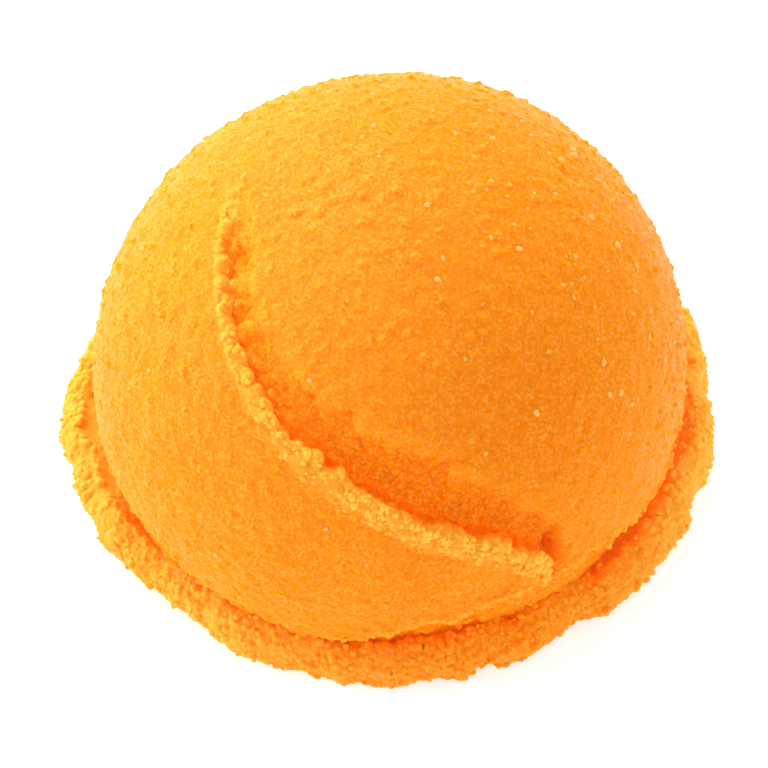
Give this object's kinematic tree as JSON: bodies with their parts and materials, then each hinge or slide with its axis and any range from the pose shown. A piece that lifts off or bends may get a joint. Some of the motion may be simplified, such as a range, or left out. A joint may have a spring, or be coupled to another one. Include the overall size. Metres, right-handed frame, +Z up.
{
  "type": "scoop of orange fruit sorbet",
  "caption": "Round scoop of fruit sorbet with a folded leaf across its front, a hollow behind the lip and a ragged skirt round its flat base.",
  "frame": {"origin": "on the flat base, straight under the middle of the ball", "axes": "+Z up; the folded leaf and its lip face -Y; +X to the right of someone who looks at the fold"},
  "size_m": [0.0698, 0.0641, 0.0421],
  "materials": {
    "sorbet": "frosty, slightly translucent orange ice",
    "ice_crystal": "clear frosted crystal"
  },
  "bodies": {
    "root": {"sorbet_scoop": "sorbet"}
  },
  "joints": []
}
